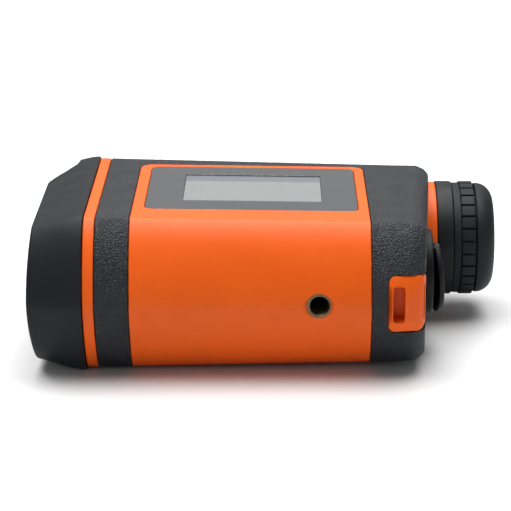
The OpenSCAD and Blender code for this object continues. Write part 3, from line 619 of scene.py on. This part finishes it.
def make_lens_surrounds():
    """A stepped bezel round each front lens, in front of the plate."""
    x = low("lens_plate").x
    for name, y, r in (("objective_bezel", EYE_Y, 12.0), ("laser_bezel", LASER_Y, 8.0)):
        profile = filleted([(x + 0.6, r + 1.3, 0), (x - 0.9, r + 1.3, 0.35), (x - 0.9, r + 0.3, 0.25),
                            (x - 0.2, r - 0.25, 0.15), (x + 1.5, r - 0.25, 0), (x + 1.5, r + 0.1, 0)])
        piece(name, revolved(profile, y, turns=128), "black_plastic")


def lens_bm(x, y, r, thickness, curve, turns=128):
    """A lens of two arcs, with its middle at x."""
    edge = thickness / 2 - (curve - math.sqrt(curve * curve - r * r))
    front = [(x - (thickness / 2 - (curve - math.sqrt(curve * curve - q * q))), q) for q in spread(0.05, r, 14)]
    back = [(2 * x - px, q) for px, q in front[::-1]]
    assert edge > 0
    return revolved(front + back, y, turns=turns, closed=False)


def make_lenses():
    for node, body, curve in (("objective_lens", "housing", 48), ("laser_lens", "housing", 30),
                              ("eye_lens", "eye_carrier", 19)):
        lo, hi = low(node), high(node)
        r = (hi.y - lo.y) / 2
        piece(node + "_polished", lens_bm((lo.x + hi.x) / 2, (lo.y + hi.y) / 2, r, hi.x - lo.x, curve),
              "optical_glass", body, [node])


# ---- Orange band, rubber armour and housing ----
def make_band():
    gap, deep, edge = SEAM * 0.6, 2.0, 0.28
    turn = [math.radians(90 * k / 3) for k in range(4)]
    front = [ring(X_BAND + gap + edge * (1 - math.sin(t)), edge * (1 - math.cos(t))) for t in turn]
    rear = [ring(X_GRIP - gap - edge * (1 - math.sin(t)), edge * (1 - math.cos(t))) for t in turn]
    loops = [ring(X_BAND + gap, deep)] + front[::-1] + rear + [ring(X_GRIP - gap, deep)]
    return piece("band", solid(loops, closed=True), "orange_plastic", nodes=["front_frame"])


def patch(rows, keep=None, closed=True, cap=False):
    """An open surface through rows of points. keep(i, j) says which of its cells are there."""
    bm = bmesh.new()
    grid = [[bm.verts.new(p) for p in row] for row in rows]
    n = len(rows[0])
    for i in range(len(rows) - 1):
        for j in range(n if closed else n - 1):
            if keep is None or keep(i, j):
                k = (j + 1) % n
                bm.faces.new((grid[i][j], grid[i][k], grid[i + 1][k], grid[i + 1][j]))
    if cap:
        bm.faces.new(grid[-1])
    bmesh.ops.delete(bm, geom=[v for v in bm.verts if not v.link_faces], context="VERTS")
    bm.normal_update()
    return outward(bm)


LUG_DEPTH = 6.8
LUG_L = REAR_FACE_X + 6 - X_LUG
LUG_W = 16.2
CAP_R = 12.15
SEAT_R = CAP_R + 0.35
X_CAP_SEAT = low("battery_cap").x + 6


def lug_cutter(gap, chamfer):
    """The notch for the strap lug, with a small chamfer that follows the base."""
    place = Matrix.Translation((X_LUG + LUG_L / 2, LUG_DEPTH, 0)) @ Matrix.Rotation(math.radians(90), 4, "X")
    reach = LUG_DEPTH - BASE_Y
    levels = [(0, gap), (reach - chamfer, gap), (reach + 4, gap + chamfer + 4)]
    return slab(LUG_L, LUG_W, 2, levels, place)


def button_place(node):
    x = middle(node).x
    y = top_y(x)
    return (Matrix.Translation((x, y, 0)) @ Matrix.Rotation(-math.atan(TOP_FALL), 4, "Z")
            @ Matrix.Rotation(math.radians(-90), 4, "X"))


BUTTONS = {"measure_button": (15.0, 10.0), "mode_button": (10.0, 7.0)}
BUTTON_GAP = 0.35


def button_cutter(node):
    length, width = BUTTONS[node]
    levels = [(-8, BUTTON_GAP), (-0.35, BUTTON_GAP), (0.0, BUTTON_GAP + 0.25), (0.5, BUTTON_GAP + 1.2)]
    return slab(length, width, width / 2 - 0.1, levels, button_place(node))


def make_armour():
    """One skin: a ring in front, a strip over the top and the whole rear, which leaves the orange area open."""
    y_end = RIM_Y - RIM_R
    front = [(x, y_end) for x in spread(X_GRIP + SEAM, X_FRONT_SEAM, 7)[:-1]]
    rear = [(x, y_end) for x in spread(X_REAR_SEAM, rear_x(0) - BEVEL_LEN - 1.2, 7)[1:]]
    stations = front + rim_stations() + rear
    rows = [[(x, y, z) for y, z in section(x, y_cut)] for x, y_cut in stations]
    open_from, open_to = len(front), len(front) + len(rim_stations()) - 1
    low_n = 2 * SIDE_N + ARC_N
    bevel = [rear_ring(off, inset) for off, inset in bevel_curve()]
    rows += bevel
    hub = Vector((rear_x(BODY_H / 2), BODY_H / 2, 0))
    for share in (0.85, 0.65, 0.45, 0.25, 0.1):
        rows.append([(rear_x(mix(hub.y, p[1], share)), mix(hub.y, p[1], share), p[2] * share) for p in bevel[-1]])
    bm = patch(rows, lambda i, j: not (open_from <= i < open_to and j < low_n), cap=True)
    seat = revolved([(X_CAP_SEAT - 12, SEAT_R), (rear_x(BATTERY_Y) - 1.6, SEAT_R), (rear_x(BATTERY_Y) + 8, SEAT_R)],
                    BATTERY_Y, closed=False)
    cutters = [seat, lug_cutter(0.12, 0.25), button_cutter("measure_button"), button_cutter("mode_button")]
    bm = worked(bm, shell_steps(ARMOUR_T, 0.22), cutters)
    return piece("armour", bm, "armour_rubber", nodes=["rubber_armour"])


WINDOW = (59.45, 43.7, 2.6)
WINDOW_T = 1.2
LCD = (39.2, 26.9)
LCD_SHIFT = (0.2, 0.5)
THROAT_R = 3.1


def side_place():
    """The plane of the window, flush with the display side, with its middle at the window's."""
    x, y = middle("display_window").x, middle("display_window").y
    turn = Matrix.Rotation(math.atan(SIDE_TAPER), 4, "Y")
    return Matrix.Translation((x, y, half_w(x))) @ turn


def make_housing():
    gap = SEAM
    rows = [[(x, y, z) for y, z in lower_points(x, y_cut)] for x, y_cut in rim_stations(gap, 8, 40)]
    bm = patch(rows, closed=False)
    pocket = slab(*WINDOW, [(-6, 0.16), (-0.18, 0.16), (0.05, 0.36), (3, 0.36)], side_place())
    socket = revolved([(-1.2, 5.2), (-0.72, 4.28), (-0.45, 3.95), (0.35, THROAT_R + 0.12), (0.7, THROAT_R),
                       (9, THROAT_R)], 0, turns=96, closed=False)
    moved(socket, Matrix.Rotation(math.radians(90), 4, "Z"))
    bm = worked(bm, shell_steps(2.3, 0.24), [pocket, socket])
    return piece("housing_shell", bm, "orange_plastic", nodes=["main_housing"])


def make_socket():
    """The threaded bush: a bore with a 1/4"-20 thread, seen down the throat."""
    bore, outer, length, pitch, depth = 2.55, 4.6, 8.0, 1.27, 0.42
    loops = []
    for k in range(97):
        y = length * k / 96
        loop = []
        for i in range(64):
            share = i / 64
            phase = (y / pitch - share) % 1
            loop.append((share, y, bore + depth * abs(2 * phase - 1)))
        loops.append([(r * math.cos(2 * math.pi * s), yy, r * math.sin(2 * math.pi * s)) for s, yy, r in loop])
    wall = [[(r * math.cos(2 * math.pi * i / 64), y, r * math.sin(2 * math.pi * i / 64)) for i in range(64)]
            for y, r in ((length, outer - 0.3), (length - 0.3, outer), (0.35, outer), (0.05, outer - 0.3),
                         (0.05, bore + 0.75))]
    return piece("socket_bush", solid(loops + wall, closed=True), "brass", nodes=["tripod_insert"])


def make_window():
    place = side_place()
    length, height, r = WINDOW
    c = 0.16
    outer = [(-WINDOW_T, 0), (-c, 0), (-c * 0.3, -c * 0.3), (0, -c), (0, -c - 0.25), (0, -c - 0.9)]
    inner = (LCD_SHIFT, LCD[0], LCD[1], 0.5, [(0, c + 0.9), (0, c + 0.25), (0, c), (-c, 0), (-WINDOW_T, 0)])
    piece("display_film", slab(length, height, r, outer, place, inner), "window_acrylic", nodes=["display_window"])
    shifted = place @ Matrix.Translation((*LCD_SHIFT, 0))
    pane = slab(LCD[0] - 0.05, LCD[1] - 0.05, 0.4, [(-1.6, 0), (-0.42, 0), (-0.36, -0.06)], shifted)
    return piece("display_pane", pane, "lcd_glass", nodes=["lcd_panel"])


def make_buttons():
    for node, body in (("measure_button", "measure_key"), ("mode_button", "mode_key")):
        length, width = BUTTONS[node]
        rise = 1.0
        levels = [(-3.9, 1.15), (-3.3, 1.15), (-3.25, 0), (rise - 0.45, 0), (rise - 0.2, -0.1), (rise - 0.06, -0.32),
                  (rise, -0.75), (rise - 0.05, -1.6), (rise - 0.14, -2.4)]
        bm = slab(length, width, width / 2 - 0.1, levels, button_place(node))
        piece(node + "_cap", bm, "soft_rubber", body, [node])


# ---- Rear end ----
COLLAR_LEN = 1.9
RING_R = 16.85
COLLAR_R = RING_R - 0.25


def make_rear_frame():
    """What shows of the rear frame: the collar round the eyepiece and the seat of the battery cap."""
    x_face = rear_x(EYE_Y)
    bore = 14.5
    profile = filleted([(x_face - 4, COLLAR_R, 0), (x_face + COLLAR_LEN, COLLAR_R, 0.35),
                        (x_face + COLLAR_LEN, bore, 0.2), (x_face - 4, bore, 0)])
    collar = revolved(profile, EYE_Y)
    tube_r = high("battery_tube").y - BATTERY_Y
    seat = revolved([(X_CAP_SEAT - 0.15, tube_r + 0.1), (X_CAP_SEAT - 0.1, SEAT_R + 1.4),
                     (X_CAP_SEAT - 1.6, SEAT_R + 1.4), (X_CAP_SEAT - 1.6, tube_r + 0.1)], BATTERY_Y)
    x0 = X_REAR_SEAM - 0.6
    core = patch([ring(x, ARMOUR_T + 0.05) for x in spread(x0, rear_x(0) - BEVEL_LEN - 1, 8)])
    core = worked(core, shell_steps(1.0, 0.1), [lug_cutter(0.12, 0.0)])
    return piece("rear_collar", joined(collar, seat, core), "orange_plastic", nodes=["rear_frame"])


def bevel_inset(off):
    """Inset of the rear bevel, off in front of the rear face."""
    curve = bevel_curve()
    if off >= BEVEL_LEN:
        return 0.0
    for (o1, i1), (o0, i0) in zip(curve, curve[1:]):
        if o0 <= off <= o1 and o1 > o0:
            return mix(i0, i1, (off - o0) / (o1 - o0))
    return BEVEL_IN


def base_surface(x, z):
    """Height of the base's skin at x and z, with the rear bevel."""
    y = BASE_Y
    for _ in range(4):
        inset = bevel_inset(max(rear_x(y) - x, 0))
        a = half_w(x) - inset
        depth = BASE_ROUND - inset
        share = min(abs(z) / a, 1)
        y = BASE_Y + inset + depth * (1 - (1 - share ** BASE_FULLNESS) ** (1 / BASE_FULLNESS))
    return y


def make_lug():
    """The strap lug: its top follows the skin, with a slot through it that opens to the rear."""
    slot_l, slot_w, bar_t, tunnel_h = 3.15, 10.2, 3.5, 2.6
    x_end = rear_x(0) - 0.02
    mid_x = (X_LUG + x_end) / 2
    slot_x = X_LUG + 1.35 + slot_l / 2

    def loop(l, w, r, cx):
        return [(cx + u, v) for u, v in rounded_loop(l, w, r, 10)]

    def at(points, sink, depth=None):
        if depth is not None:
            return [(x + (REAR_LEAN * depth if x > x_end - 0.5 else 0), BASE_Y + depth, z) for x, z in points]
        return [(x, base_surface(min(x, x_end), z) + sink, z) for x, z in points]
    length = x_end - X_LUG
    gap = 0.06
    outer = loop(length - 2 * gap, LUG_W - 2 * gap, 1.9, mid_x)
    inner = loop(slot_l, slot_w, 0.9, slot_x)
    levels = [at(outer, 0, LUG_DEPTH), at(outer, 0.45)]
    for grow, sink in ((0.0, 0.3), (-0.1, 0.1), (-0.32, 0.0)):
        levels.append(at(loop(length - 2 * gap + 2 * grow, LUG_W - 2 * gap + 2 * grow, 1.9 + grow, mid_x), sink))
    top_outer = loop(length - 2 * gap - 0.64, LUG_W - 2 * gap - 0.64, 1.58, mid_x)
    top_inner = loop(slot_l + 0.7, slot_w + 0.7, 1.25, slot_x)
    for t in (0.2, 0.4, 0.6, 0.8, 1.0):
        levels.append(at([(mix(a[0], b[0], t), mix(a[1], b[1], t)) for a, b in zip(top_outer, top_inner)], 0))
    for grow, sink in ((0.12, 0.08), (0.02, 0.25)):
        levels.append(at(loop(slot_l + 2 * grow, slot_w + 2 * grow, 0.9 + grow, slot_x), sink))
    levels += [at(inner, 0, 2.0), at(inner, 0, bar_t + tunnel_h)]
    tunnel = slab(slot_w, tunnel_h, 0.4, [(0.15, 0), (20, 0)],
                  Matrix.Translation((X_LUG + 1.35, BASE_Y + bar_t + tunnel_h / 2, 0))
                  @ Matrix.Rotation(math.radians(90), 4, "Y"))
    bm = worked(solid(levels), (), [tunnel])
    return piece("lug", bm, "orange_plastic", nodes=["strap_lug"])


# ---- Eyepiece ----
RIB_COUNT = 28
CUP_ROUND = 5  # rounding of the eyecup's outer end
CUP_WALL = 3.6  # from the eyecup's skin to its hollow


def make_eyepiece():
    x_collar = rear_x(EYE_Y) + COLLAR_LEN
    x_end = high("eyepiece_barrel").x
    bore = 12.56
    barrel = filleted([(x_collar - 5, 14.4, 0), (x_collar + 0.12, 14.4, 0), (x_collar + 0.12, RING_R, 0.3),
                       (x_end, RING_R, 0.35), (x_end, bore, 0.15), (x_collar - 5, bore, 0)])
    piece("barrel", revolved(barrel, EYE_Y), "black_plastic", nodes=["eyepiece_barrel"])

    x_neck = low("diopter_ring").x
    x_rib = x_neck + 2.3
    x_groove = x_rib + 3.9
    x_cup = low("eyecup").x
    top = RING_R - 0.05
    ring_profile = filleted([(x_neck, bore, 0), (x_neck, RING_R - 0.45, 0.3), (x_rib - 0.25, RING_R - 0.45, 0),
                             (x_rib - 0.1, RING_R - 0.85, 0), (x_rib, RING_R - 0.85, 0), (x_rib, top, 0.3),
                             (x_groove, top, 0.3), (x_groove, RING_R - 2.1, 0.1), (x_cup + 1.9, RING_R - 2.1, 0),
                             (x_cup + 1.9, bore, 0)])

    def ribs(x, r, share):
        phase = (share * RIB_COUNT) % 1
        d = min(phase, 1 - phase)
        groove = max(0.0, min(1.0, (0.1 - d) / 0.045))
        return r - 0.6 * groove if x >= x_rib - 0.01 and r > RING_R - 1.0 and x <= x_groove + 0.01 else r
    bm = revolved(ring_profile, EYE_Y, turns=RIB_COUNT * 20, shape=ribs)
    piece("focus_grip", bm, "soft_rubber", "focus_ring", ["diopter_ring"], 40)

    cup_r = RING_R - 0.6
    x_cup_end = high("eyecup").x
    x_arc = x_cup_end - math.sqrt(CUP_ROUND ** 2 - (CUP_ROUND - CUP_WALL) ** 2)
    last = math.acos((CUP_ROUND - CUP_WALL + 0.5) / CUP_ROUND)
    rim = [(x_arc + CUP_ROUND * math.sin(t), cup_r - CUP_ROUND * (1 - math.cos(t)), 0) for t in spread(0, last, 14)]
    cup = filleted([(x_cup, cup_r - 1.3, 0), (x_cup, cup_r, 0.3), *rim, (x_cup_end, cup_r - CUP_WALL, 0.3),
                    (x_cup + 2.1, cup_r - CUP_WALL, 0), (x_cup + 2.1, cup_r - 1.3, 0)])
    piece("eyecup_soft", revolved(cup, EYE_Y), "soft_rubber", "focus_ring", ["eyecup"])


# ---- Battery cap and its folding tab ----
HUB_R = 1.15
TAB_T = 1.5
TAB_R = CAP_R - 0.75
HUB_HALF = TAB_R - 3
EAR_T = 1.6
CAP_T = 2.3
TAB_TURN = math.radians(25)
TAB_REST = math.radians(8)
TAB_PLACE = Matrix.Translation((X_CAP_SEAT + CAP_T + HUB_R - 0.35, BATTERY_Y, 0)) @ Matrix.Rotation(TAB_TURN, 4, "X")


def bar(r, z0, z1, place, edge=0.15, turns=40):
    """A round bar along the tab's hinge."""
    rows = [(z0, r - edge), (z0 + edge * 0.3, r - edge * 0.3), (z0 + edge, r), (z1 - edge, r),
            (z1 - edge * 0.3, r - edge * 0.3), (z1, r - edge)]
    loops = [[(rr * math.cos(2 * math.pi * k / turns), rr * math.sin(2 * math.pi * k / turns), z)
              for k in range(turns)] for z, rr in rows]
    return moved(solid(loops), place)


def make_cap():
    x = X_CAP_SEAT
    disc = filleted([(x + 0.05, 8, 0), (x + 0.05, CAP_R, 0.3), (x + CAP_T, CAP_R, 0.6), (x + CAP_T, 9.6, 0.3),
                     (x + CAP_T - 0.5, 9.2, 0.2), (x + CAP_T - 0.5, 0.05, 0), (x + 1.2, 0.05, 0), (x + 1.2, 8, 0)])
    skirt = filleted([(x + 0.6, 9.35, 0), (x - 6, 9.35, 0.3), (x - 6, 8.2, 0.2), (x + 0.6, 8.2, 0)])

    def thread(px, r, share):
        phase = (px / 1.5 - share) % 1
        return r - 0.3 * abs(2 * phase - 1) if r > 9.3 and x - 5.6 < px < x - 1.8 else r
    dense = []
    for (x0, r0), (x1, r1) in zip(skirt, skirt[1:] + skirt[:1]):
        n = max(1, int(abs(x1 - x0) / 0.2))
        dense += [(mix(x0, x1, k / n), mix(r0, r1, k / n)) for k in range(n)]
    body = revolved(disc, BATTERY_Y, turns=240)
    threads = revolved(dense, BATTERY_Y, turns=96, shape=thread)
    ears = []
    for side in (-1, 1):
        z = side * (HUB_HALF + 0.1 + EAR_T / 2)
        ears.append(bar(HUB_R, z - EAR_T / 2, z + EAR_T / 2, TAB_PLACE))
        foot = slab(2 * HUB_R, 2 * HUB_R, 0.1, [(-EAR_T / 2, 0), (EAR_T / 2, 0)],
                    TAB_PLACE @ Matrix.Translation((-HUB_R, 0, z)))
        ears.append(foot)
    pocket = slab(2.5, 2 * (HUB_R + 0.35), 0.5, [(-HUB_HALF - 0.1, 0), (HUB_HALF + 0.1, 0)],
                  TAB_PLACE @ Matrix.Translation((1 - HUB_R, 0, 0)))
    body = worked(body, (), [pocket])
    piece("cap_disc", joined(body, threads, *ears), "black_plastic", "cap", ["battery_cap"])
    half = HUB_HALF + 0.1 + EAR_T
    piece("hinge_pin", bar(0.5, -half + 0.1, half - 0.1, TAB_PLACE, 0.12), "steel", "cap", ["tab_pin"])


def make_tab():
    """The tab: a half disc with a rounded edge, a finger hollow and a hub on the pin."""
    clear = HUB_R + 0.95
    start = math.asin(clear / (TAB_R - 0.02))
    arc = [(-TAB_R * math.sin(t), TAB_R * math.cos(t)) for t in spread(start, math.pi - start, 48)]
    outline = [(-0.1, HUB_HALF - 0.05), (-clear, HUB_HALF - 0.05)] + arc
    outline += [(-clear, 0.05 - HUB_HALF), (-0.1, 0.05 - HUB_HALF)]
    loops = [[(x, y, z) for y, z in outline] for x in (-TAB_T / 2, TAB_T / 2)]
    hollow = revolved([(TAB_T / 2 + 1, TAB_R - 3.2), (TAB_T / 2, TAB_R - 3.9), (TAB_T / 2 - 0.45, TAB_R - 4.5),
                       (TAB_T / 2 - 0.5, 0.05)], 0, closed=False)
    plate = worked(solid(loops), [bevel_step(0.4, 50, 4)], [hollow])
    place = TAB_PLACE @ Matrix.Rotation(TAB_REST, 4, "Z")
    hub = bar(HUB_R, 0.05 - HUB_HALF, HUB_HALF - 0.05, place)
    piece("tab", joined(moved(plate, place), hub), "black_plastic", "tab", ["cap_tab"])


# ---- Carried CAD nodes: each gets its slot's look ----
NODE_LOOKS = {
    "black_plastic": ["lens_plate", "objective_retainer", "objective_barrel", "laser_tube", "eye_lens_carrier",
                      "battery_tube", "inner_frame", "prism_housing"],
    "optical_glass": ["half_penta_prism", "roof_prism", "reticle_plate", "field_lens"],
    "circuit_board": ["display_board", "button_board", "laser_board", "main_board"],
    "steel": ["rear_screws", "button_switches", "receiver_module", "battery_spring"],
    "brass": ["cap_contact"],
    "gold_can": ["laser_diode"],
    "foam": ["window_gasket"],
    "soft_rubber": ["cap_seal"],
    "backlight_plastic": ["lcd_backlight"],
    "chip_epoxy": ["board_chips"],
    "battery_sleeve": ["battery"],
}


def dress_nodes():
    for look, nodes in NODE_LOOKS.items():
        for node in nodes:
            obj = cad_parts[node]
            obj.data.materials.clear()
            obj.data.materials.append(look_of(look))


# ---- Stage, lights and camera ----
def make_stage():
    material = Nodes("floor")
    base = material.blend(material.noise(60, 3), (0.7, 0.7, 0.7), (0.73, 0.73, 0.73))
    gloss = material.remap(material.noise(30), 0.3, 0.7, 0.7, 0.8)
    material.finish(base, gloss, material.bump(material.noise(2), 0.02, 0.02), Specular_IOR_Level=0.2)
    bm = bmesh.new()
    z = low("front_hood").z * MM - 0.0002
    bmesh.ops.create_grid(bm, x_segments=4, y_segments=4, size=4)
    floor = as_object(moved(bm, Matrix.Translation((0, 0, z))), "floor")
    floor.data.materials.append(material.material)

    world = bpy.data.worlds.new("studio")
    bpy.context.scene.world = world
    world.use_nodes = True
    background = world.node_tree.nodes["Background"]
    background.inputs["Color"].default_value = (1, 1, 1, 1)
    background.inputs["Strength"].default_value = 0.2


def add_light(name, place, aim, size, power, colour=(1, 1, 1)):
    data = bpy.data.lights.new(name, "AREA")
    data.shape = "RECTANGLE"
    data.size, data.size_y = size
    data.energy = power
    data.color = colour
    light = bpy.data.objects.new(name, data)
    light.location = place
    light.rotation_euler = (Vector(aim) - Vector(place)).to_track_quat("-Z", "Y").to_euler()
    bpy.context.scene.collection.objects.link(light)


def make_lights():
    aim = (-0.01, 0.04, 0)
    add_light("overhead", (-0.05, 0.15, 0.7), aim, (0.9, 0.8), 13.5)
    add_light("front_fill", (-0.3, -0.8, 0.45), aim, (0.5, 0.4), 0.55)
    add_light("back_sheen", (0.0, 0.75, 0.32), aim, (1.1, 0.4), 0.8)


CAMERA_DISTANCE = 0.55682
CAMERA_RAISE = 0.01403
CAMERA_AIM = (-0.01712, -0.0008, 0)
CAMERA_AZIMUTH = math.radians(-0.6)
CAMERA_ELEVATION = math.radians(17.9)
CAMERA_ROLL = math.radians(0.36)
CAMERA_LENS = 145.14


def make_camera():
    az, el = CAMERA_AZIMUTH, CAMERA_ELEVATION
    right = Vector((math.cos(az), -math.sin(az), 0))
    forward = Vector((math.sin(az) * math.cos(el), math.cos(az) * math.cos(el), -math.sin(el)))
    up = right.cross(forward)
    place = Vector(CAMERA_AIM) - CAMERA_DISTANCE * forward + CAMERA_RAISE * up
    c, s = math.cos(CAMERA_ROLL), math.sin(CAMERA_ROLL)
    right, up = c * right - s * up, s * right + c * up
    data = bpy.data.cameras.new("camera")
    data.sensor_width = 36
    data.lens = CAMERA_LENS
    data.clip_start = 0.01
    camera = bpy.data.objects.new("camera", data)
    turn = Matrix((right, up, -forward)).transposed().to_4x4()
    camera.matrix_world = Matrix.Translation(place) @ turn
    bpy.context.scene.collection.objects.link(camera)
    bpy.context.scene.camera = camera


make_camera()
make_stage()
make_lights()
make_hood()
make_lens_surrounds()
make_lenses()
make_band()
make_armour()
make_housing()
make_socket()
make_window()
make_buttons()
make_rear_frame()
make_lug()
make_eyepiece()
make_cap()
make_tab()
dress_nodes()
bpy.context.scene.view_settings.view_transform = "Standard"
